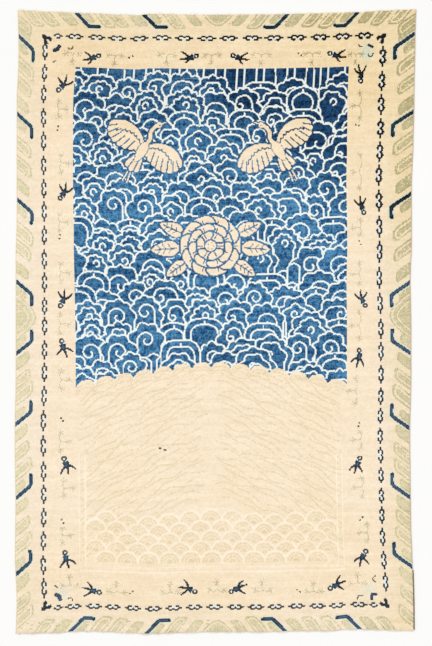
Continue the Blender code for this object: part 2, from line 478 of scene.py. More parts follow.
def knot_taper(place, points, start, end, dye):
    """Knots a line that narrows from one width to another."""
    line = stand(place, curve(points, 4))
    for i, width in enumerate(np.linspace(start, end, len(line) - 1)):
        knot_line(line[i:i + 2], width, dye)


def knot_bird(place, lean, under_wing):
    """A small flying bird: ring head, pale collar, wedge body, two swept wings and a long tail."""
    waist = np.array((-3.0, 0.0))
    for (degrees, bend), part in zip(BIRD_LIMBS, (1, 1, under_wing)):
        angle = math.radians(180 - degrees + chance.uniform(-9, 9))
        reach = part * chance.uniform(33, 38)
        limb = []
        for share in (0, 0.35, 0.7, 1.0):
            turn = angle - math.radians(bend) * (0.6 - share) * 2
            limb.append(waist + reach * share * np.array((math.cos(turn), math.sin(turn))))
        knot_taper(place, limb, 10.5, 5.6, NAVY)
    ahead = tilted(Place(stand(place, [waist])[0], place.right, place.up), lean)
    fill(ahead, BIRD_BODY, NAVY)
    stroke(ahead, ((1, 0), (12, 0)), 9, MID_BLUE)
    stroke(ahead, curve(((18, -11), (19.5, 0), (18, 11)), 4), 4.0, CLOUD_CREAM)
    stroke(ahead, spiral((HEAD_AT, 0), (6.9, 7.4), (0, 360), 16), 7.0, BROWN_BLACK)
    knot_disc(ahead, (HEAD_AT, 0), 3.9, CLOUD_CREAM)
    knot_disc(ahead, (36, -3), 3.6, BROWN_BLACK)


def knot_sprig(place, half_width, dye):
    """A thin branch that forks both ways, with a small flower at each tip."""
    bend = half_width * 0.08
    stroke(place, curve(np.array(SPRIG_BAR) * (half_width, bend)), THIN_LINE, dye)
    stroke(place, curve(((-4, bend), (0, 8), (1, SPRIG_STEM)), 3), THIN_LINE, dye)
    for x, y in ((-half_width, bend), (half_width, bend), (1, SPRIG_STEM)):
        for degrees in (0, 60, 120):
            angle = math.radians(degrees + chance.uniform(-8, 8))
            ray = np.array((math.cos(angle), math.sin(angle))) * SPRIG_RAY
            stroke(place, [(x, y) - ray, (x, y) + ray], 2.7, dye)


# In the corners, inwards from the corner of the chain: a thick bean and two thin curls, each given
# by its middle and its points, and how many knots of haze lie round them.
Corner = namedtuple("Corner", "ways bean_width bean end_curl side_curl haze")
STROKE = ((-4, 3), (4, -3))
CORNERS = (
    Corner((-1, 1), 14, ((45, 46), ((-10, 8), (1, 3), (8, -8))),
           ((93, 42), ((-7, 4), (3, 5), (8, 1), (8, -6))), ((36, 96), STROKE), 0),
    Corner((1, 1), 9.5, ((51, 42), ((8, -5), (-1, -1), (-9, 4))), ((92, 38), ((7, -4), (3, 3), (-6, 2))),
           ((50, 74), ((10, -4), (6, 5), (-5, 5), (-11, -5))), 330),
    Corner((-1, -1), 14, ((50, 39), ((-7, 10), (3, 4), (6, -9))), ((92, 29), ((-8, 3), (4, 4), (8, -5))),
           ((43, 81), STROKE), 90),
    Corner((1, -1), 11, ((49, 31), ((-10, 10), (4, 9), (6, -9))),
           ((101, 28), ((-12, 7), (3, 5), (9, -7))), ((42, 99), ((-5, 13), (5, 5), (5, -4), (-5, -12))), 90),
)


def knot_inner_corner(corner):
    """A bean and two thin curls in a pale haze, in a corner of the inner border."""
    x_way, y_way = corner.ways
    place = Place((x_way * GUARD_X, y_way * GUARD_Y), (-x_way, 0), (0, -y_way))
    for _ in range(corner.haze):
        knot_disc(place, (chance.gauss(64, 15), chance.gauss(62, 18)), 2.2, HALO, (IVORY,))
    for (middle, points), width, dye in (
        (corner.bean, corner.bean_width, NAVY), (corner.end_curl, FINE_LINE, BROWN_BLACK),
        (corner.side_curl, FINE_LINE, BROWN_BLACK),
    ):
        line = stand(place, curve(np.array(points, float) + middle, 4))
        knot_line(line, width, dye)
        knot_line(line, width - CORE_INSET, MID_BLUE)


def knot_inner_border():
    """Birds, dots and sprigs along the sides, and a corner piece in each corner."""
    width, length = GUARD_X - 17, GUARD_Y - 17
    for left, right, low, high in (
        (-width, FIELD_LEFT, -length, length), (FIELD_RIGHT, width, -length, length),
        (-width, width, -length, FIELD_BOTTOM), (-width, width, FIELD_TOP, length),
    ):
        knot_area(((left, low), (right, low), (right, high), (left, high)), IVORY)
    for side, sprigs in SPRIGS.items():
        for along, depth, half_width in sprigs:
            knot_sprig(side_place(side, along, depth=depth), half_width, GREY_GREEN)
    fade_knots(GREY_GREEN, IVORY, 0.0, 0.15)
    for side, pairs in DOTS.items():
        for along, depth, slant in pairs:
            spot = tilted(side_place(side, along, depth=depth), slant)
            for hand in (-1, 1):
                knot_disc(spot, (hand * 7.2, 0), 3.7, BROWN_BLACK)
    for side, birds in BIRDS.items():
        for along, depth, lean in birds:
            place = side_place(side, along, 1 if along > 0 else -1, depth)
            knot_bird(place, lean, TOP_UNDER_WING if side == "top" else 1.0)
    for corner in CORNERS:
        knot_inner_corner(corner)


# ------------------------------------------------------------------------------------- the field

SKY = (INDIGO, CLOUD_CREAM)
WATER = (IVORY, PALE_IVORY, WATER_TAN)
WATER_LINE = 5.6
FIELD_MIDDLE = (FIELD_LEFT + FIELD_RIGHT) / 2
CLOUD_ROW = 68
CLOUD_PITCH = 112
CLOUD_GAP = 24  # from one outline of a cloud to the next one inside it
CLOUD_FOOT = -70  # how far down a cloud goes on behind those in front of it
CLOUD_KINDS = ("snail", "snail", "nested", "nested", "cusped", "hooked", "stalk")
FIRST_CLOUDS_Y = FIELD_TOP - 112
LAST_CLOUDS_Y = -330


def cloud_line(place, *parts):
    """A cream line in the sky, through points given in one or more parts."""
    stroke(place, np.vstack(parts), LINE, CLOUD_CREAM, SKY)


def knot_cloud(place, width, height, kind):
    """One cloud: a scalloped dome that hides what is behind it, with its own lines inside."""
    count = {"cusped": 2, "stalk": 1}.get(kind, chance.choice((4, 5, 5, 6, 7)))
    bulge = {"cusped": 0.32, "stalk": 0.3}.get(kind, chance.uniform(0.28, 0.4))
    dome = lobes(width, height, count, bulge, 0.13)
    left_foot, right_foot = (-width / 2, CLOUD_FOOT), (width / 2, CLOUD_FOOT)
    fill(place, np.vstack((dome, right_foot, left_foot)), INDIGO, SKY)
    cloud_line(place, left_foot, dome, right_foot)
    half = width / 2 - CLOUD_GAP
    inner_height = height - CLOUD_GAP
    if kind == "snail":
        turn = spiral((0, inner_height - half), (half, 7), (180, -215), 34)
        cloud_line(place, (-half, CLOUD_FOOT), turn)
    elif kind == "nested":
        inside = lobes(2 * half, inner_height, max(count - 1, 2), bulge, 0.1)
        cloud_line(place, (-half, CLOUD_FOOT), inside, (half, CLOUD_FOOT))
        if half > 24:
            cloud_line(place, spiral((3, inner_height * 0.46), (14, 9), (-80, 190), 16))
    elif kind == "cusped":
        inside = lobes(2 * half, inner_height, 2, bulge)
        cloud_line(place, (-half, CLOUD_FOOT), inside, (half, CLOUD_FOOT))
        cloud_line(place, (0, inner_height), (0, inner_height + 12))
    elif kind == "hooked":
        hook = curve((
            (-half, CLOUD_FOOT), (-half, inner_height * 0.4), (-half * 0.5, inner_height * 0.94),
            (half * 0.5, inner_height * 0.9), (half * 0.8, inner_height * 0.5),
        ))
        eye = (half * 0.32, inner_height * 0.46)
        cloud_line(place, hook, spiral(eye, (half * 0.48, 6), (0, -300), 18))


def knot_sky():
    """Clouds in staggered rows, each row in front of the one above."""
    knot_area([(FIELD_LEFT, FIELD_BOTTOM), (FIELD_RIGHT, FIELD_BOTTOM),
               (FIELD_RIGHT, FIELD_TOP + 8), (FIELD_LEFT, FIELD_TOP + 8)], INDIGO)
    x = FIELD_LEFT + 24
    while x < FIELD_RIGHT - 10:
        ray = [(x, FIELD_TOP + 8), (x + chance.uniform(-5, 5), FIELD_TOP - 90)]
        knot_line(ray, LINE, CLOUD_CREAM, SKY)
        x += chance.choice((28, 38, 46, 64))
    y = FIRST_CLOUDS_Y
    row = 0
    while y > LAST_CLOUDS_Y:
        clouds = []
        x = FIELD_LEFT - 10 + (row % 2) * CLOUD_PITCH / 2 + chance.uniform(-20, 20)
        while x < FIELD_RIGHT + 60:
            kind = chance.choice(CLOUD_KINDS)
            if kind == "stalk":
                for _ in range(chance.choice((1, 2))):
                    clouds.append((x - 26, chance.uniform(46, 60), chance.uniform(84, 128), kind))
                    x += 40
            else:
                width = CLOUD_PITCH * chance.uniform(0.94, 1.4)
                clouds.append((x, width, chance.uniform(70, 104), kind))
                x += CLOUD_PITCH * chance.uniform(0.9, 1.1)
        chance.shuffle(clouds)
        for x, width, height, kind in clouds:
            place = Place((x, y + chance.uniform(-17, 17)), (chance.choice((-1, 1)), 0), (0, 1))
            knot_cloud(place, width, height, kind)
        y -= CLOUD_ROW
        row += 1


# The crane's right wing: its leading edge from the shoulder out, and the tips of its feathers.
WING_LEAD = ((4, 22), (34, 50), (72, 66), (112, 66), (146, 50))
WING_TIPS = (
    (158, 38), (158, 14), (146, -8), (126, -22), (102, -28), (78, -28), (54, -22), (32, -12),
)
CRANE_MARGIN = 14  # the blue round a crane that parts it from the clouds
CRANE_TAIL = (
    (0, 10), (22, -40), (30, -78), (18, -84), (12, -76), (6, -90),
    (-6, -90), (-12, -76), (-18, -84), (-30, -78), (-22, -40), (0, 10),
)
CRANE_BODY = (
    (0, 40), (15, 22), (19, 0), (13, -30), (0, -50), (-13, -30), (-19, 0), (-15, 22), (0, 40),
)


def knot_wing(place):
    """A spread wing: two rows of feathers parted by blue lines."""
    tips = np.array(WING_TIPS, float)
    outline = np.array([*curve(WING_LEAD), *scallops(tips, 0.2375), tips[-1], (0, -14.0)])
    stroke(place, outline, CRANE_MARGIN, INDIGO)
    fill(place, outline, IVORY)
    shoulder = np.array((-6, 26), float)
    for tip in tips[1:-1]:
        root = tip + (shoulder + (1.4 * tip[0] * 0.55, 26) - tip) * 0.52
        stroke(place, (tip, root), FINE_LINE, INDIGO, (IVORY,))
    coverts = [(14 + 17 * i, 16 + 26 * math.sin(0.42 * i + 0.2)) for i in range(8)]
    row = []
    for near, far in zip(coverts, coverts[1:]):
        for t in np.arange(5) / 5:
            x = near[0] + (far[0] - near[0]) * t
            row.append((x, near[1] + (far[1] - near[1]) * t - 26 * t * (1 - t)))
    stroke(place, row, FINE_LINE, INDIGO, (IVORY,))


def knot_crane(place):
    """A crane in flight seen from above: long neck and legs, fanned tail, spread wings."""
    neck = curve(((0, 20), (3, 52), (-9, 78), (-5, 104), (4, 116)))
    head = neck[-1]
    bill = (head, head + (16, 22))
    legs = [curve(((hand * 4, -70), (hand * 6 + 2, -100), (hand * 9 + 6, -138))) for hand in (-1, 1)]
    for line in legs:
        stroke(place, line, CRANE_MARGIN, INDIGO)
    stroke(place, neck, 27, INDIGO)
    for line in legs:
        stroke(place, line, 5.4, IVORY)
    for hand in (-1, 1):
        knot_wing(Place(place.origin, hand * np.array(place.right, float), place.up))
    tail = curve(CRANE_TAIL, 4)
    stroke(place, tail, 12, INDIGO)
    fill(place, tail, IVORY)
    for x in (-9, 9):
        stroke(place, ((x, -44), (x * 1.4, -78)), FINE_LINE, INDIGO, (IVORY,))
    body = curve(CRANE_BODY, 5)
    stroke(place, body, FINE_LINE, INDIGO)
    fill(place, body, IVORY)
    stroke(place, neck, 14, IVORY)
    stroke(place, bill, 15, INDIGO, SKY)
    stroke(place, bill, 4.8, IVORY)
    knot_disc(place, head, 11, IVORY)
    knot_disc(place, head + (2, 1), 2.4, INDIGO)


def knot_blossom(place, radius):
    """A full round blossom: three rings of petals and a seed head."""
    def petals(outer, count, turn):
        for i in range(count):
            petal = tilted(place, turn + 360 / count * i)
            wide = outer * math.sin(math.pi / count) * 1.22
            shape = curve(((outer * 0.25, 0), (outer * 0.62, wide), (outer * 0.93, wide * 0.72),
                           (outer * 0.98, 0), (outer * 0.93, -wide * 0.72), (outer * 0.62, -wide),
                           (outer * 0.25, 0)), 5)
            fill(petal, shape, IVORY)
            stroke(petal, shape, 6.4, INDIGO)
            stroke(petal, ((outer * 0.55, 0), (outer * 0.84, 0)), FINE_LINE, INDIGO)

    knot_disc(place, (0, 0), radius, INDIGO)
    petals(radius, 10, 0)
    petals(radius * 0.72, 8, 22.5)
    petals(radius * 0.46, 6, 0)
    knot_disc(place, (0, 0), radius * 0.22, INDIGO)
    knot_disc(place, (0, 0), radius * 0.17, IVORY)
    for i in range(5):
        knot_disc(tilted(place, 72 * i), (radius * 0.1, 0), 2.2, INDIGO)


def knot_leaf(place, length):
    """A pointed leaf with a midrib."""
    wide = length * 0.24
    shape = curve(((0, 0), (length * 0.3, wide), (length * 0.7, wide * 0.8), (length, 0),
                   (length * 0.7, -wide * 0.8), (length * 0.3, -wide), (0, 0)), 5)
    stroke(place, shape, 12, INDIGO)
    fill(place, shape, IVORY)
    stroke(place, ((length * 0.16, 0), (length * 0.86, 0)), FINE_LINE, INDIGO)
    for share in (0.34, 0.52, 0.7):
        for hand in (-1, 1):
            vein = ((length * share, 0), (length * (share + 0.1), hand * wide * 0.62))
            stroke(place, vein, 3.0, INDIGO, (IVORY,))


BLOSSOM_Y = 300
BLOSSOM_RADIUS = 122
LEAVES = ((24, 104, 108), (-4, 118, 112), (-34, 98, 108))  # angle, length and way from the middle
CRANE_X = 262
CRANE_Y = 672
CRANE_LEAN = 32


def knot_sky_motifs():
    """A blossom with leaves in the middle of the sky, and a crane on either side above it."""
    for mirror in (False, True):
        hand = -1 if mirror else 1
        for degrees, length, away in LEAVES:
            spot = tilted(turned(FIELD_MIDDLE, BLOSSOM_Y, 0, mirror), degrees)
            root = stand(spot, [(away, 0)])[0]
            knot_leaf(Place(root, spot.right, spot.up), length)
        knot_crane(turned(FIELD_MIDDLE - hand * CRANE_X, CRANE_Y, -CRANE_LEAN * hand, mirror))
    knot_blossom(turned(FIELD_MIDDLE, BLOSSOM_Y), BLOSSOM_RADIUS)


def water_edge(x):
    """The height of the line where sky and water meet: highest in the middle."""
    off = abs(x - FIELD_MIDDLE)
    return -165 - 85 * (off / 530) ** 1.6


CREST_LOBES = 14
WATER_LINES = range(-7, 18)
WATER_PITCH = 26
WATER_TOP = -222
SCALE_ROWS = 5
SCALE_ROW = 38
SCALE_PITCH = 82
SCALES_Y = -778


def knot_water_lines():
    """Thin wavy lines that fall away from the middle to both sides, broken here and there."""
    for line in WATER_LINES:
        start_y = WATER_TOP - WATER_PITCH * line
        for hand in (-1, 1):
            phase = chance.uniform(0, 6)
            points = []
            for off in range(int(chance.uniform(10, 60)), 512, 11):
                fall = 270 * (off / 524) ** 1.3
                sway = 8 * math.sin(off / 34 + phase) + 4.5 * math.sin(off / 15 + 2 * phase)
                points.append((FIELD_MIDDLE + hand * off, start_y - fall + sway))
                if chance.random() < 0.04 and len(points) > 8:
                    knot_line(points, WATER_LINE, WATER_TAN, WATER)
                    points = []
            if len(points) > 2:
                knot_line(points, WATER_LINE, WATER_TAN, WATER)


def knot_scale(place, width, height):
    """A wave scale: half rounds one inside the other."""
    angle = np.linspace(math.pi, 0, 17)
    dome = np.column_stack((np.cos(angle) * width / 2, np.sin(angle) * height))
    fill(place, np.vstack((dome, (width / 2, -10), (-width / 2, -10))), IVORY, WATER)
    stroke(place, dome, LINE, PALE_IVORY, WATER)
    stroke(place, dome * 0.76, FINE_LINE, WATER_TAN, WATER)
    stroke(place, dome * 0.52, FINE_LINE, WATER_TAN, WATER)
    fill(place, dome * 0.3, WATER_TAN, WATER)


def knot_scales():
    """Rows of wave scales at the foot of the water, each row in front of the one above."""
    for row in range(SCALE_ROWS):
        for i in range(-6, 7):
            x = FIELD_MIDDLE + SCALE_PITCH * i + (row % 2) * SCALE_PITCH / 2
            if abs(x - FIELD_MIDDLE) < 472:
                y = SCALES_Y - SCALE_ROW * row + 10 * math.cos(i) * (4 - row) / 4
                knot_scale(turned(x, y), 86, 44)


def knot_water():
    """Pale water: a scalloped crest with two echoes, its lines, its scales and a faint frame."""
    crest = []
    width = (FIELD_RIGHT - FIELD_LEFT) / CREST_LOBES
    for i in range(CREST_LOBES):
        for t in np.arange(6) / 6:
            x = FIELD_LEFT + (i + t) * width
            crest.append((x, water_edge(x) + 22 * math.sqrt(max(0, 1 - (2 * t - 1) ** 2)) - 8))
    crest.append((FIELD_RIGHT, water_edge(FIELD_RIGHT)))
    knot_area(crest + [(FIELD_RIGHT, FIELD_BOTTOM - 8), (FIELD_LEFT, FIELD_BOTTOM - 8)], IVORY)
    for echo in (16, 30):
        knot_line([(x, y - echo) for x, y in crest], FINE_LINE, WATER_TAN, WATER)
    knot_water_lines()
    knot_scales()
    fade_knots(WATER_TAN, IVORY, 0.05, 0.35)
    for inset in (14, 34):
        low, wide = FIELD_BOTTOM + inset, inset * 1.2
        knot_line([(FIELD_LEFT + wide, -520), (FIELD_LEFT + wide, low), (FIELD_RIGHT - wide, low),
                   (FIELD_RIGHT - wide, -520)], FINE_LINE, PALE_IVORY, WATER)


def knot_odd_wools():
    """Two dark knots in the water, and thin rows near the top of the sky where the blue ran short."""
    for x, y in ((-208, -484), (-187, -491)):
        knot_line(((x - 3, y), (x + 3, y - 1)), 6.4, BROWN_BLACK, WATER)
    for start, end, y in ((-266, -190, 943), (-214, -70, 928), (-120, -38, 950)):
        for x in range(start, end, 12):
            knot_line(((x, y), (x + chance.uniform(6, 14), y)), THIN_LINE, PALE_BLUE, (INDIGO,))


FLECKS = 30  # at each end


def knot_worn_ends():
    """Tan flecks near both ends, where the pile is worn down to its knots."""
    flecks = random.Random(12)
    for end in (-1, 1):
        for _ in range(FLECKS):
            x = flecks.uniform(-HALF_WIDTH, HALF_WIDTH)
            y = end * (HALF_LENGTH - flecks.uniform(4, 46))
            slant = flecks.uniform(-3, 3)
            knot_line(((x, y), (x + flecks.uniform(2, 9), y + slant)), THIN_LINE, WORN_TAN,
                      (BORDER_CREAM, SAGE, DARK_SAGE))


knot_sky()
knot_sky_motifs()
knot_water()
knot_odd_wools()
knot_outer_border()
knot_inner_border()
knot_guard_stripe()
knot_worn_ends()

# --------------------------------------------------------------------------- end of the knot chart

MM = 0.001

# Heights in the rug, from the floor.
FOUNDATION_TOP = 2.3 * MM
PILE_TOP = 5.0 * MM
DARK_DYES = (INDIGO, NAVY, MID_BLUE, BROWN_BLACK)
DARK_CUT = 0.4 * MM  # where dark and pale knots meet
PALE_CUT = 0.12 * MM  # where any two dyes meet
BROWN_WEAR = 0.9 * MM  # brown dye eats the wool
SWELL = 0.22 * MM  # the long slow waves in the pile
RIM_FALLS = (1.3 * MM, 0.5 * MM, 0.15 * MM)

ROOT_DEPTH = 0.3 * MM  # the pile's closed foot is this far inside the foundation
SELVEDGE_RADIUS = 1.7 * MM
SELVEDGE_INSET = 3.2 * MM
END_INSET = 1.2 * MM

# ------------------------------------------------------------------------------------ materials


def hex_colour(code):
    """An sRGB hex colour as linear light, with full alpha."""
    channels = [int(code[i:i + 2], 16) / 255 for i in (1, 3, 5)]
    linear = [c / 12.92 if c <= 0.04045 else ((c + 0.055) / 1.055) ** 2.4 for c in channels]
    return (*linear, 1.0)


def add_node(tree, kind, links=(), **settings):
    """Adds one node: settings are its own, and links gives its inputs values or other nodes' outputs."""
    node = tree.nodes.new("ShaderNode" + kind)
    for name, value in settings.items():
        setattr(node, name, value)
    for name, value in dict(links).items():
        if isinstance(value, bpy.types.NodeSocket):
            tree.links.new(value, node.inputs[name])
        else:
            node.inputs[name].default_value = value
    return node


def new_material(name, roughness, sheen):
    """A material with its shader, and the object's coordinates to read."""
    material = bpy.data.materials.new(name)
    material.use_nodes = True
    tree = material.node_tree
    shader = tree.nodes["Principled BSDF"]
    shader.inputs["Roughness"].default_value = roughness
    shader.inputs["Specular IOR Level"].default_value = 0.2
    shader.inputs["Sheen Weight"].default_value = sheen
    shader.inputs["Sheen Roughness"].default_value = 0.6
    coordinates = add_node(tree, "TexCoord")
    return material, tree, shader, coordinates.outputs["Object"]


# How far the wool has yellowed or darkened, by kind of dye: a slant across the rug, and then for
# each zone what it follows, where it starts and ends, and what it adds there.
AGE_ZONES = {
    "pale": (0.25, (("Y", 0.35, 1.2, 0.0, 0.75), ("slant", 0.4, 1.0, 0.0, 0.5),
                    ("Y", -0.5, -1.15, 0.0, 0.3), ("X", 0.62, 0.72, 0.0, 0.35),
                    ("patches", 0.3, 0.7, -0.14, 0.14))),
    "sage": (0.45, (("Y", 0.6, 1.2, 0.0, 0.3), ("Y", -0.9, -1.2, 0.0, 0.2),
                    ("slant", 0.2, 1.1, 0.0, 0.7), ("X", 0.4, 0.7, 0.0, 0.15),
                    ("patches", 0.3, 0.7, -0.12, 0.12))),
    "dark": (1.2, (("Y", 0.3, 0.9, 0.0, 0.35), ("slant", 0.8, 1.3, 0.0, 0.65),
                   ("Y", -0.5, -1.15, 0.0, 0.1), ("patches", 0.35, 0.65, -0.1, 0.3))),
}


def age_of_wool(tree, place, kind):
    """How far the wool has yellowed or darkened, from 0 to 1."""
    slope, zones = AGE_ZONES[kind]
    apart = add_node(tree, "SeparateXYZ", {"Vector": place})
    slant = add_node(tree, "Math", {0: apart.outputs["Y"], 1: slope, 2: apart.outputs["X"]},
                     operation="MULTIPLY_ADD")
    patches = add_node(tree, "TexNoise", {"Vector": place, "Scale": 3.2, "Detail": 3.0})
    follows = {"X": apart.outputs["X"], "Y": apart.outputs["Y"], "slant": slant.outputs[0],
               "patches": patches.outputs["Fac"]}
    total = 0.0
    for what, start, end, low, high in zones:
        reach = {"From Min": start, "From Max": end, "To Min": low, "To Max": high}
        zone = add_node(tree, "MapRange", {"Value": follows[what], **reach},
                        interpolation_type="SMOOTHSTEP")
        total = add_node(tree, "Math", {0: total, 1: zone.outputs[0]}, operation="ADD").outputs[0]
    return add_node(tree, "Clamp", {"Value": total}).outputs[0]


def mixed(tree, factor, first, second):
    """The colour that a mix node gives for two colours."""
    mix = add_node(tree, "Mix", {"Factor": factor}, data_type="RGBA")
    for socket, colour in ((mix.inputs[6], first), (mix.inputs[7], second)):
        if isinstance(colour, bpy.types.NodeSocket):
            tree.links.new(colour, socket)
        else:
            socket.default_value = colour
    return mix.outputs[2]


TUFT = 1.8 * MM  # a cut yarn end, two to a knot
FIBRE = 0.7 * MM


def knotted_wool(name, kind, light, deep, aged_light, aged_deep):
    """Hand-spun wool pile, knotted and clipped: matt, each knot a little lighter or darker than the
    next, with streaks along the wefts where a new dye lot began, and yellowed or darkened by age."""
    dark = kind == "dark"
    material, tree, shader, place = new_material(name, 0.92, 0.04 if dark else 0.12)
    shader.inputs["Specular IOR Level"].default_value = 0.1 if dark else 0.2
    knot = add_node(tree, "Attribute", attribute_name="knot_shade", attribute_type="GEOMETRY")
    streak_place = add_node(tree, "Mapping", {"Vector": place, "Scale": (7.0, 42.0, 1.0)})
    streaks = add_node(tree, "TexNoise",
                       {"Vector": streak_place.outputs[0], "Scale": 1.0, "Detail": 3.0})
    mottle = add_node(tree, "TexNoise", {"Vector": place, "Scale": 85.0, "Detail": 2.0})
    tufts = add_node(tree, "TexVoronoi", {"Vector": place, "Scale": 1 / TUFT, "Randomness": 0.8})
    fibres = add_node(tree, "TexNoise", {"Vector": place, "Scale": 1 / FIBRE, "Detail": 2.0})
    # Dark dyes took far less evenly than pale ones.
    own, cloudy, pale_end, dark_end = (2.2, 3.0, 2.65, 3.95) if dark else (1.0, 1.2, 1.1, 2.3)
    shade = 0.0
    # The tufts' Distance term darkens the colour between the cut yarn ends: painted shade in the crevices of
    # the pile. The other terms are the wool's own uneven tone.
    for value, amount in (
        (knot.outputs["Fac"], own), (streaks.outputs["Fac"], 1.3), (mottle.outputs["Fac"], cloudy),
        (tufts.outputs["Distance"], -0.25), (fibres.outputs["Fac"], 0.25),
    ):
        total = add_node(tree, "Math", {0: value, 1: amount, 2: shade}, operation="MULTIPLY_ADD")
        shade = total.outputs[0]
    shade = add_node(tree, "MapRange", {"Value": shade, "From Min": pale_end, "From Max": dark_end})
    age = age_of_wool(tree, place, kind)
    now_light = mixed(tree, age, hex_colour(light), hex_colour(aged_light))
    now_deep = mixed(tree, age, hex_colour(deep), hex_colour(aged_deep))
    tree.links.new(mixed(tree, shade.outputs[0], now_deep, now_light), shader.inputs["Base Color"])
    bumps = add_node(tree, "Math", {0: fibres.outputs["Fac"], 1: tufts.outputs["Distance"]},
                     operation="SUBTRACT")
    bump = add_node(tree, "Bump", {"Height": bumps.outputs[0], "Strength": 0.5, "Distance": FIBRE})
    tree.links.new(bump.outputs[0], shader.inputs["Normal"])
    return material


def spun_yarn(name, light, deep, turn_pitch, slant):
    """Spun yarn wound or laid side by side: matt, with fine slanting ridges from its twist."""
    material, tree, shader, place = new_material(name, 0.9, 0.15)
    ridges_place = add_node(tree, "Mapping", {"Vector": place, "Rotation": (0.0, 0.0, slant)})
    ridges = add_node(tree, "TexWave", {"Vector": ridges_place.outputs[0], "Scale": 0.314 / turn_pitch,
                                        "Distortion": 1.5, "Detail": 2.0, "Detail Scale": 2.0})
    dirt = add_node(tree, "TexNoise", {"Vector": place, "Scale": 45.0, "Detail": 4.0})
    shade = add_node(tree, "Math", {0: ridges.outputs["Fac"], 1: dirt.outputs["Fac"]}, operation="ADD")
    shade = add_node(tree, "MapRange", {"Value": shade.outputs[0], "From Min": 0.4, "From Max": 1.5})
    colour = mixed(tree, shade.outputs[0], hex_colour(deep), hex_colour(light))
    tree.links.new(colour, shader.inputs["Base Color"])
    bump = add_node(tree, "Bump", {"Height": ridges.outputs["Fac"], "Strength": 0.6,
                                   "Distance": 0.3 * MM})
    tree.links.new(bump.outputs[0], shader.inputs["Normal"])
    return material


# Each dye's light and deep tone, fresh and then aged.
WOOL_TONES = {
    "ivory": ("#F8E8CF", "#E8D3B5", "#F0DBB4", "#DEC393"),
    "border_cream": ("#F7E8D3", "#E6D3B9", "#EFDCB5", "#DCC498"),
    "indigo": ("#5A95BD", "#0E4270", "#22507B", "#021B36"),
    "cloud_cream": ("#F0F5F0", "#DCE4E0", "#E6EAE3", "#D6D8CD"),
    "water_tan": ("#EAD8B8", "#DCC9A4", "#E1CB9F", "#CEB789"),
    "sage": ("#E4DAB8", "#D3C9A1", "#BFB588", "#A3986C"),
    "dark_sage": ("#D3CAA5", "#BFB58E", "#AEA378", "#93885D"),
    "navy": ("#38424E", "#222C36", "#1A1D20", "#0A0C0E"),
    "brown_black": ("#5C5954", "#43413E", "#1E1A15", "#100D0A"),
    "pale_blue": ("#6F9CBC", "#4A7899", "#5A86A8", "#3F6A8C"),
    "grey_green": ("#D6CDAE", "#C0B592", "#BAAE84", "#9C8E64"),
    "halo": ("#E4E6D8", "#D4D9C9", "#D6D8C2", "#C6C8AF"),
    "pale_ivory": ("#FBEFDB", "#EFDEC5", "#F5E2C0", "#E5CFA4"),
    "mid_blue": ("#4B6B89", "#334E6A", "#20384A", "#0E181E"),
    "worn_tan": ("#D8BF98", "#C2A379", "#BE9862", "#957042"),
}


def dye_kind(dye):
    """Which way a dye ages."""
    if dye in DARK_DYES:
        return "dark"
    return "sage" if dye in (SAGE, DARK_SAGE) else "pale"


dyed_wool = [knotted_wool(name + "_wool_pile", dye_kind(dye), *WOOL_TONES[name])
             for dye, name in enumerate(DYES)]
raw_cotton = spun_yarn("raw_cotton_warp_yarn", "#FBEFE0", "#EBD8C2", 0.5 * MM, 0.6)
selvedge_wool = {
    "left": spun_yarn("ivory_wool_selvedge_yarn", "#F2E4CA", "#DCCBAC", 1.4 * MM, 1.57),
    "right": spun_yarn("tan_wool_selvedge_yarn", "#E2CDB6", "#B79C88", 1.4 * MM, 1.57),
}
brown_wool = spun_yarn("brown_wool_whipping_yarn", "#8C6A48", "#4A3220", 0.7 * MM, 1.2)

# --------------------------------------------------------------------- the rug's outline and relief


def rug_corners(outline):
    """The four corners of the outline: lower left, lower right, upper right and upper left."""
    ways = np.array(((-1, -1), (1, -1), (1, 1), (-1, 1)))
    return [int(np.argmax(outline @ way)) for way in ways]


def rug_edges():
    """The rug's sides and ends as lines of points, read from the upright walls of the CAD rug."""
    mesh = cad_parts["rug_body"].data
    points = np.array([vertex.co for vertex in mesh.vertices])
    height = points[:, 2] / points[:, 2].max()
    walls = np.unique(points[(height > 0.01) & (height < 0.99), :2].round(6), axis=0)
    outline = walls[np.argsort(np.arctan2(walls[:, 1], walls[:, 0]))]
    lower_left, lower_right, upper_right, upper_left = rug_corners(outline)

    def around(start, stop):
        run = range(start, stop + 1 + len(outline) * (stop < start))
        return np.take(outline, run, axis=0, mode="wrap")

    return {
        "bottom": around(lower_left, lower_right), "right": around(lower_right, upper_right),
        "top": around(upper_right, upper_left)[::-1], "left": around(upper_left, lower_left)[::-1],
    }


EDGES = rug_edges()


def edge_points(side, share, inset, trim=0.0):
    """Places on a side or end at these shares of its length, set in from the edge and its corners."""
    line = EDGES[side]
    axis = 1 if side in ("left", "right") else 0
    along = line[0, axis] + trim + (line[-1, axis] - line[0, axis] - 2 * trim) * np.asarray(share, float)
    across = np.interp(along, line[:, axis], line[:, 1 - axis])
    across = across - inset if side in ("right", "top") else across + inset
    return np.stack((across, along) if axis else (along, across), axis=-1)


# The weaver's lines wander. At each height, in millimetres, how far to the right of their even
# places stand the left guard stripe, both sides of the field and the right guard stripe.
STRAYS = (
    (-1100, -8, 5, 4, 9), (-900, -5, 5, 3, 3), (-600, -4, 4, 1, 0), (-300, -3, 5, 1, -3),
    (0, -2, 3, 1, -4), (200, -2, -1, 2, -9), (400, -7, -8, -1, -13), (600, -10, -11, -5, -16),
    (850, -11, -11, -8, -14), (1050, -12, -5, -4, -11),
)
STRAY_X = (-HALF_WIDTH, -GUARD_X, FIELD_LEFT, FIELD_RIGHT, GUARD_X, HALF_WIDTH)
# And how far above their even places, at these heights.
RISE_Y = (-HALF_LENGTH, -GUARD_Y, FIELD_BOTTOM, FIELD_TOP, GUARD_Y, HALF_LENGTH)
RISES = (0, -2, 0, 2, 6, 0)


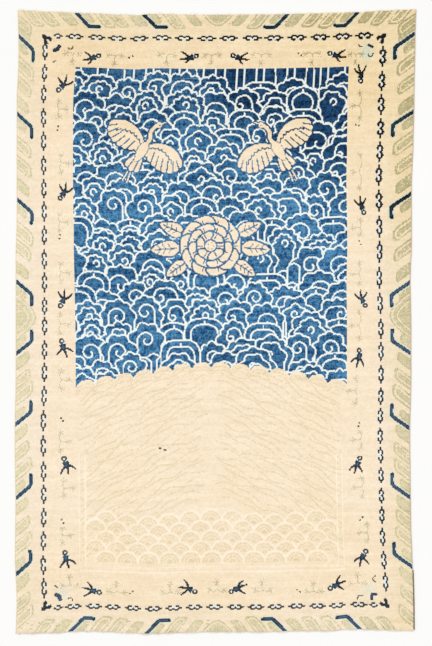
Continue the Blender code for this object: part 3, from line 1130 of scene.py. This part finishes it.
def strayed(x, y):
    """Where the weaver put these places of the chart, on a rug with straight edges."""
    at, *strays = zip(*STRAYS)
    lines = [0 * y, *(np.interp(y, at, stray) for stray in strays), 0 * y]
    shift = 0 * x
    for near, far, here, there in zip(STRAY_X, STRAY_X[1:], lines, lines[1:]):
        way = (x - near) / (far - near)
        shift += np.where((way > 0) & (way <= 1), here + (there - here) * way, 0)
    return x + shift, y + np.interp(y, RISE_Y, RISES)


def on_rug(column, row):
    """Places on the rug for knot counts from its lower left corner: the four edges are blended."""
    x = np.asarray(column, float) * KNOT - HALF_WIDTH
    y = np.asarray(row, float) * KNOT - HALF_LENGTH
    x, y = strayed(x, y)
    u = (x + HALF_WIDTH) / (2 * HALF_WIDTH)
    v = (y + HALF_LENGTH) / (2 * HALF_LENGTH)
    left, right = (edge_points(side, v, SELVEDGE_INSET, END_INSET) for side in ("left", "right"))
    bottom, top = (edge_points(side, u, END_INSET, SELVEDGE_INSET) for side in ("bottom", "top"))
    low_left, low_right = edge_points("bottom", (0.0, 1.0), END_INSET, SELVEDGE_INSET)
    high_left, high_right = edge_points("top", (0.0, 1.0), END_INSET, SELVEDGE_INSET)
    u, v = u[..., None], v[..., None]
    across = (1 - u) * left + u * right
    along = (1 - v) * bottom + v * top
    corners = ((1 - u) * (1 - v) * low_left + u * (1 - v) * low_right
               + u * v * high_right + (1 - u) * v * high_left)
    return across + along - corners


def pile_heights(seed):
    """The pile's height where knots meet: clipped lower between dyes, worn where it is brown."""
    noise = np.random.default_rng(seed)
    dyes = np.pad(chart, 1, mode="edge")
    around = np.stack((dyes[:-1, :-1], dyes[:-1, 1:], dyes[1:, :-1], dyes[1:, 1:]))
    dark = np.isin(around, DARK_DYES)
    column, row = np.meshgrid(np.arange(COLUMNS + 1), np.arange(ROWS + 1))
    height = np.full(column.shape, PILE_TOP)
    height += SWELL * (np.sin(column / 23 + row / 61) + np.sin(row / 29 - column / 47))
    height -= DARK_CUT * (dark.any(axis=0) & ~dark.all(axis=0))
    height -= PALE_CUT * (around.min(axis=0) != around.max(axis=0))
    height -= BROWN_WEAR * (around == BROWN_BLACK).mean(axis=0)
    height += noise.uniform(-0.12, 0.12, column.shape) * MM
    rim = np.minimum(np.minimum(column, COLUMNS - column), np.minimum(row, ROWS - row))
    for depth, fall in enumerate(RIM_FALLS):
        height[rim == depth] -= fall
    return height


def knot_shades(seed):
    """Each knot's own shade, from 0 to 1: handspun yarn takes the dye unevenly, more so row by row."""
    noise = np.random.default_rng(seed)
    rows = np.repeat(noise.uniform(-0.1, 0.1, (ROWS, 1)), COLUMNS, axis=1)
    return np.clip(0.5 + rows + noise.normal(0, 0.14, (ROWS, COLUMNS)), 0, 1)


heights = pile_heights(5)
shades = knot_shades(6)
drift = np.random.default_rng(7).uniform(-0.07, 0.07, (ROWS + 1, COLUMNS + 1, 2))

# ------------------------------------------------------------------------------- pile and foundation


def column_at(x):
    """The column that starts nearest to this place on the chart."""
    return int(round((x + HALF_WIDTH) / KNOT))


def row_at(y):
    """The row that starts nearest to this place on the chart."""
    return int(round((y + HALF_LENGTH) / KNOT))


def add_block(work, block, step=1):
    """Adds a grid over a block of knots: first and last column, first and last row."""
    left, right, low, high = block
    wide, long = right - left, high - low
    middle = Matrix.Translation(((left + right) / 2, (low + high) / 2, 0))
    bmesh.ops.create_grid(work, x_segments=math.ceil(wide / step), y_segments=math.ceil(long / step),
                          size=0.5, matrix=middle @ Matrix.Diagonal((wide, long, 1, 1)))


def by_points(item):
    """Edges or faces sorted by this follow the order of their points."""
    return sorted(point.index for point in item.verts)


def close_below(work, depth, ring=False):
    """Draws the open rim down as a wall, and closes what is open below it."""
    rim = [edge for edge in work.edges if edge.is_boundary]
    for edge in rim:
        edge.smooth = False
    walls = bmesh.ops.extrude_edge_only(work, edges=rim)["geom"]
    for item in walls:
        if isinstance(item, bmesh.types.BMVert):
            item.co.z += depth
    # The extrusion adds its edges and faces in no fixed order, so both are sorted: each run is the same.
    work.verts.index_update()
    foot = sorted((edge for edge in work.edges if edge.is_boundary), key=by_points)
    if ring:
        bmesh.ops.bridge_loops(work, edges=foot)
    else:
        bmesh.ops.contextual_create(work, geom=foot)
    for place, face in enumerate(sorted(work.faces, key=by_points)):
        face.index = place
    work.faces.sort()
    bmesh.ops.recalc_face_normals(work, faces=work.faces)


def finished_mesh(name, work):
    """The mesh of a bmesh, which is freed."""
    mesh = bpy.data.meshes.new(name)
    work.to_mesh(mesh)
    work.free()
    return mesh


def add_piece(name, mesh, materials):
    """A piece of the rug with its materials."""
    piece = bpy.data.objects.new(name, mesh)
    bpy.context.scene.collection.objects.link(piece)
    for material in materials:
        mesh.materials.append(material)
    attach(piece, "root")
    return piece


def read_table(items, name, width, kind=np.float32):
    """One property of all of a mesh's items, a row for each."""
    values = np.zeros(len(items) * width, kind)
    items.foreach_get(name, values)
    return values.reshape(-1, width) if width > 1 else values


def lay_map(mesh, knots, block):
    """A flat map of the side with the knots; walls and hidden faces stay flat and go into its corner."""
    left, right, low, high = block
    share = (knots[:, :2] - (left, low)) / (right - left, high - low)
    corners = read_table(mesh.loops, "vertex_index", 1, np.int32)
    level_corners = np.isclose(knots[corners, 2], 0)
    sizes = read_table(mesh.polygons, "loop_total", 1, np.int32)
    face_of_corner = np.repeat(np.arange(len(sizes)), sizes)
    shows = np.bincount(face_of_corner, weights=level_corners) == sizes
    mesh.polygons.foreach_set("use_smooth", shows)
    places = share[corners]
    hidden = 0.985 + 0.01 * (places + 0.4 * ~level_corners[:, None])
    places = np.where(shows[face_of_corner][:, None], places * 0.98, hidden)
    layer = mesh.uv_layers.new(name="OFBake")
    layer.data.foreach_set("uv", places.astype(np.float32).ravel())


def dye_faces(mesh, dyes):
    """Gives each face the dye of its knot and the knot's shade. The mesh is still in knot counts."""
    centres = read_table(mesh.polygons, "center", 3)
    columns = np.clip(np.floor(centres[:, 0]), 0, COLUMNS - 1).astype(int)
    rows = np.clip(np.floor(centres[:, 1]), 0, ROWS - 1).astype(int)
    slots = np.zeros(len(DYES), np.int32)
    slots[dyes] = np.arange(len(dyes))
    mesh.polygons.foreach_set("material_index", slots[chart[rows, columns]])
    shade = mesh.attributes.new("knot_shade", "FLOAT", "FACE")
    shade.data.foreach_set("value", shades[rows, columns].astype(np.float32))


def set_places(mesh, places):
    """Moves a mesh's points to these places."""
    mesh.vertices.foreach_set("co", places.astype(np.float32).ravel())
    mesh.update()


def add_pile(name, outside, inside=None):
    """The pile of one zone, a face to each knot, closed below where it stands in the foundation."""
    work = bmesh.new()
    left, right, low, high = outside
    if inside is None:
        add_block(work, outside)
    else:
        in_left, in_right, in_low, in_high = inside
        add_block(work, (left, in_left, low, high))
        add_block(work, (in_right, right, low, high))
        add_block(work, (in_left, in_right, low, in_low))
        add_block(work, (in_left, in_right, in_high, high))
        bmesh.ops.remove_doubles(work, verts=work.verts, dist=0.1)
    close_below(work, -1, ring=inside is not None)
    mesh = finished_mesh(name, work)
    dyes = np.unique(chart[low:high, left:right])
    dye_faces(mesh, dyes)
    knots = read_table(mesh.vertices, "co", 3).astype(float)
    lay_map(mesh, knots, outside)
    columns, rows = knots[:, 0].round().astype(int), knots[:, 1].round().astype(int)
    inner = ((columns > 0) & (columns < COLUMNS) & (rows > 0) & (rows < ROWS))[:, None]
    nudge = drift[rows, columns] * inner
    flat = on_rug(columns + nudge[:, 0], rows + nudge[:, 1])
    height = np.where(knots[:, 2] > -0.5, heights[rows, columns], FOUNDATION_TOP - ROOT_DEPTH)
    set_places(mesh, np.column_stack((flat, height)))
    return add_piece(name, mesh, [dyed_wool[dye] for dye in dyes])


def add_foundation():
    """The cotton foundation: its underside shows the knots' backs, two by two, in their colours."""
    work = bmesh.new()
    whole = (0, COLUMNS, 0, ROWS)
    add_block(work, whole, 2)
    close_below(work, 1)
    mesh = finished_mesh("cotton_foundation", work)
    dye_faces(mesh, np.arange(len(DYES)))
    knots = read_table(mesh.vertices, "co", 3).astype(float)
    lay_map(mesh, knots, whole)
    slots = read_table(mesh.polygons, "material_index", 1, np.int32)
    slots[read_table(mesh.polygons, "center", 3)[:, 2] > 0.1] = len(DYES)
    mesh.polygons.foreach_set("material_index", slots)
    backs = np.random.default_rng(9).uniform(0, 0.25, len(knots)) * MM
    height = np.where(knots[:, 2] > 0.5, FOUNDATION_TOP, backs)
    set_places(mesh, np.column_stack((on_rug(knots[:, 0], knots[:, 1]), height)))
    return add_piece("cotton_foundation", mesh, dyed_wool + [raw_cotton])


guard_outside, guard_inside = (
    (column_at(-GUARD_X - out), column_at(GUARD_X + out), row_at(-GUARD_Y - out), row_at(GUARD_Y + out))
    for out in (GUARD_DEPTH / 2, -GUARD_DEPTH / 2))
field = (column_at(FIELD_LEFT), column_at(FIELD_RIGHT), row_at(FIELD_BOTTOM), row_at(FIELD_TOP))
split = row_at(PILE_SPLIT_Y)

foundation = add_foundation()
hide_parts("rug_body")
trimmings = [
    add_pile("outer_border_pile", (0, COLUMNS, 0, ROWS), guard_outside),
    add_pile("guard_stripe_pile", guard_outside, guard_inside),
    add_pile("inner_border_pile", guard_inside, field),
    add_pile("sky_pile", (field[0], field[1], split, field[3])),
    add_pile("water_pile", (field[0], field[1], field[2], split)),
]

# ------------------------------------------------------------------- selvedges, fringe and whipping


def add_cord(name, points, radius, material, sides, seed):
    """A yarn or cord laid along these points, a little uneven in thickness."""
    noise = np.random.default_rng(seed)
    line = bpy.data.curves.new(name, "CURVE")
    line.dimensions = "3D"
    line.bevel_depth = radius
    line.bevel_resolution = (sides - 4) // 2
    line.use_fill_caps = True
    spline = line.splines.new("POLY")
    spline.points.add(len(points) - 1)
    for place, point in zip(spline.points, points):
        place.co = (*point, 1)
        place.radius = noise.uniform(0.93, 1.0)
    draft = bpy.data.objects.new(name + "_draft", line)
    work = bmesh.new()
    work.from_mesh(draft.to_mesh())
    bpy.data.objects.remove(draft)
    bmesh.ops.remove_doubles(work, verts=work.verts, dist=0.005 * MM)
    bmesh.ops.recalc_face_normals(work, faces=work.faces)
    for face in work.faces:
        face.smooth = True
    return add_piece(name, finished_mesh(name, work), [material])


SELVEDGE_RISE = 0.6 * MM
HEADING_RADIUS = 0.95 * MM
HEADING_INSET = 0.7 * MM
HEADING_HEIGHT = 1.4 * MM


def add_selvedge(side):
    """The last warps of a side, wrapped round with wool: a thin cord along the edge."""
    flat = edge_points(side, np.linspace(0.001, 0.999, 260), SELVEDGE_RADIUS)
    points = np.column_stack((flat, np.full(len(flat), SELVEDGE_RADIUS + SELVEDGE_RISE)))
    return add_cord(side + "_selvedge", points, SELVEDGE_RADIUS, selvedge_wool[side],
                    8, len(side))


def add_heading(side):
    """The last wefts of an end, beaten close: a thin cord that shuts in the knots."""
    flat = edge_points(side, np.linspace(0.003, 0.997, 220), HEADING_INSET)
    points = np.column_stack((flat, np.full(len(flat), HEADING_HEIGHT)))
    return add_cord(side + "_heading", points, HEADING_RADIUS, raw_cotton,
                    6, len(side))


WARP_ENDS = 425
PLY_RADIUS = 0.5 * MM
PLY_HEIGHT = 0.75 * MM
PLY_APART = 0.42 * MM  # from a warp's middle to the middle of either ply
WARP_ROOT = 3 * MM  # how far in from the edge a warp end starts
# How far the warp ends of each end reach out, shortest and longest.
FRINGE_REACH = {"top": (2.2 * MM, 6.0 * MM), "bottom": (3.4 * MM, 9.6 * MM)}


def add_fringe(side, seed):
    """Cut warp ends along one end of the rug, each a cotton yarn that has opened into two plies."""
    noise = random.Random(seed)
    work = bmesh.new()
    shortest, longest = FRINGE_REACH[side]
    out = 1 if side == "top" else -1
    lying = Matrix.Rotation(-out * math.pi / 2, 4, "X")
    pitch = 2 * HALF_WIDTH * MM / WARP_ENDS
    for warp in range(WARP_ENDS):
        along = (warp + 0.5 + noise.uniform(-0.3, 0.3)) * pitch
        clump = 0.5 + 0.5 * math.sin(along * 95 + 2 * math.sin(along * 23))
        length = shortest + (longest - shortest) * min(1, 0.7 * clump + noise.uniform(0, 0.35))
        lean = noise.gauss(0, 0.18)
        for hand in (-1, 1):
            turn = Matrix.Rotation(lean + hand * noise.uniform(0.03, 0.2), 4, "Z")
            root = Matrix.Translation((along + hand * PLY_APART, -out * WARP_ROOT, 0))
            whole = length * noise.uniform(0.85, 1) + WARP_ROOT
            middle = Matrix.Translation((0, 0, whole / 2))
            bmesh.ops.create_cone(work, cap_ends=True, segments=5, radius1=PLY_RADIUS,
                                  radius2=PLY_RADIUS * 0.5, depth=whole,
                                  matrix=root @ turn @ lying @ middle)
    for cut in (1, 3, 5, 7):
        bmesh.ops.bisect_plane(work, geom=work.verts[:] + work.edges[:] + work.faces[:], dist=1e-7,
                               plane_co=(0, out * cut * MM, 0), plane_no=(0, 1, 0))
    for face in work.faces:
        face.smooth = True
    mesh = finished_mesh(side + "_fringe", work)
    places = read_table(mesh.vertices, "co", 3).astype(float)
    outwards = places[:, 1] * out
    curl = np.clip(outwards / longest, 0, 1) ** 2
    along = places[:, 0] + curl * 1.6 * MM * np.sin(places[:, 0] * 310 + 3 * np.sin(places[:, 0] * 47))
    flat = edge_points(side, np.clip(along / (2 * HALF_WIDTH * MM), 0, 1), 0.0, 2 * MM)
    flat[:, 1] += places[:, 1]
    height = PLY_HEIGHT + places[:, 2] + 0.35 * MM * (1 - np.clip(outwards / (4 * MM), 0, 1))
    set_places(mesh, np.column_stack((flat, height)))
    return add_piece(side + "_fringe", mesh, [raw_cotton])


WHIP_YARN = 0.95 * MM
WHIP_PITCH = 2.25 * MM
WHIP_INSET = 1.4 * MM
WHIP_HEIGHT = 2.6 * MM


def add_whipping():
    """Dark wool wound round the right side near the lower corner, where the selvedge wore through."""
    low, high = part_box("side_whipping")
    side = EDGES["right"]
    run = side[-1, 1] - side[0, 1]
    turns = int((high[1] - low[1]) / WHIP_PITCH)
    angle = np.linspace(0, turns * 2 * math.pi, turns * 10)
    share = (np.linspace(low[1] + WHIP_YARN, high[1] - WHIP_YARN, len(angle)) - side[0, 1]) / run
    noise = np.random.default_rng(21)
    sways = noise.uniform(-0.35, 0.35, turns + 2)
    wobble = np.interp(angle, np.arange(turns + 2) * 2 * math.pi, sways) * MM
    flat = edge_points("right", share, WHIP_INSET)
    x = flat[:, 0] + (2.0 * MM + wobble) * np.cos(angle)
    z = WHIP_HEIGHT + (1.4 * MM + 0.2 * wobble) * np.sin(angle)
    points = np.column_stack((x, flat[:, 1], z))
    return add_cord("side_whipping_yarn", points, WHIP_YARN, brown_wool, 6, 22)


selvedges = [add_selvedge(side) for side in ("left", "right")]
headings = [add_heading(side) for side in ("top", "bottom")]
fringes = [add_fringe("top", 31), add_fringe("bottom", 32)]
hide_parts("fringe_top")
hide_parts("fringe_bottom")
whipping = add_whipping()
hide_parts("side_whipping")
trimmings += [*selvedges, *headings, *fringes, whipping]

# ------------------------------------------------------------------------ floor, light and camera

# Matt painted studio floor: near white, almost even.
FLOOR_SIZE = 14.0


def add_floor():
    """A pale floor under the rug."""
    work = bmesh.new()
    bmesh.ops.create_grid(work, x_segments=1, y_segments=1, size=FLOOR_SIZE / 2)
    floor = bpy.data.objects.new("studio_floor", finished_mesh("studio_floor", work))
    bpy.context.scene.collection.objects.link(floor)
    material, tree, shader, place = new_material("matt_painted_floor", 0.9, 0.0)
    clouds = add_node(tree, "TexNoise", {"Vector": place, "Scale": 1.3, "Detail": 2.0})
    tint = mixed(tree, clouds.outputs["Fac"], hex_colour("#EFEFED"), hex_colour("#F3F2F0"))
    tree.links.new(tint, shader.inputs["Base Color"])
    floor.data.materials.append(material)
    return floor


floor = add_floor()

CAMERA_LENS = 85
CAMERA_SENSOR = 36
VIEW_HEIGHT = 2.503
VIEW_X = 0.0019
VIEW_Y = -0.0033
camera_data = bpy.data.cameras.new("camera")
camera_data.lens = CAMERA_LENS
camera_data.sensor_width = CAMERA_SENSOR
camera = bpy.data.objects.new("camera", camera_data)
camera.location = (VIEW_X, VIEW_Y, VIEW_HEIGHT * CAMERA_LENS / CAMERA_SENSOR + PILE_TOP)
bpy.context.scene.collection.objects.link(camera)
bpy.context.scene.camera = camera

world = bpy.data.worlds.new("soft_studio")
world.use_nodes = True
backdrop = world.node_tree.nodes["Background"]
backdrop.inputs["Color"].default_value = (1.0, 1.0, 1.0, 1.0)
backdrop.inputs["Strength"].default_value = 0.8
bpy.context.scene.world = world

# A far, broad lamp from the upper left: even over the whole rug, with soft shadows.
lamp_data = bpy.data.lights.new("broad_lamp", "SUN")
lamp_data.energy = 1.25
lamp_data.angle = math.radians(35)
lamp = bpy.data.objects.new("broad_lamp", lamp_data)
lamp.location = (-3.0, 3.2, 5.5)
lamp.rotation_euler = (-lamp.location).to_track_quat("-Z", "Y").to_euler()
bpy.context.scene.collection.objects.link(lamp)
bpy.context.scene.view_settings.view_transform = "Standard"
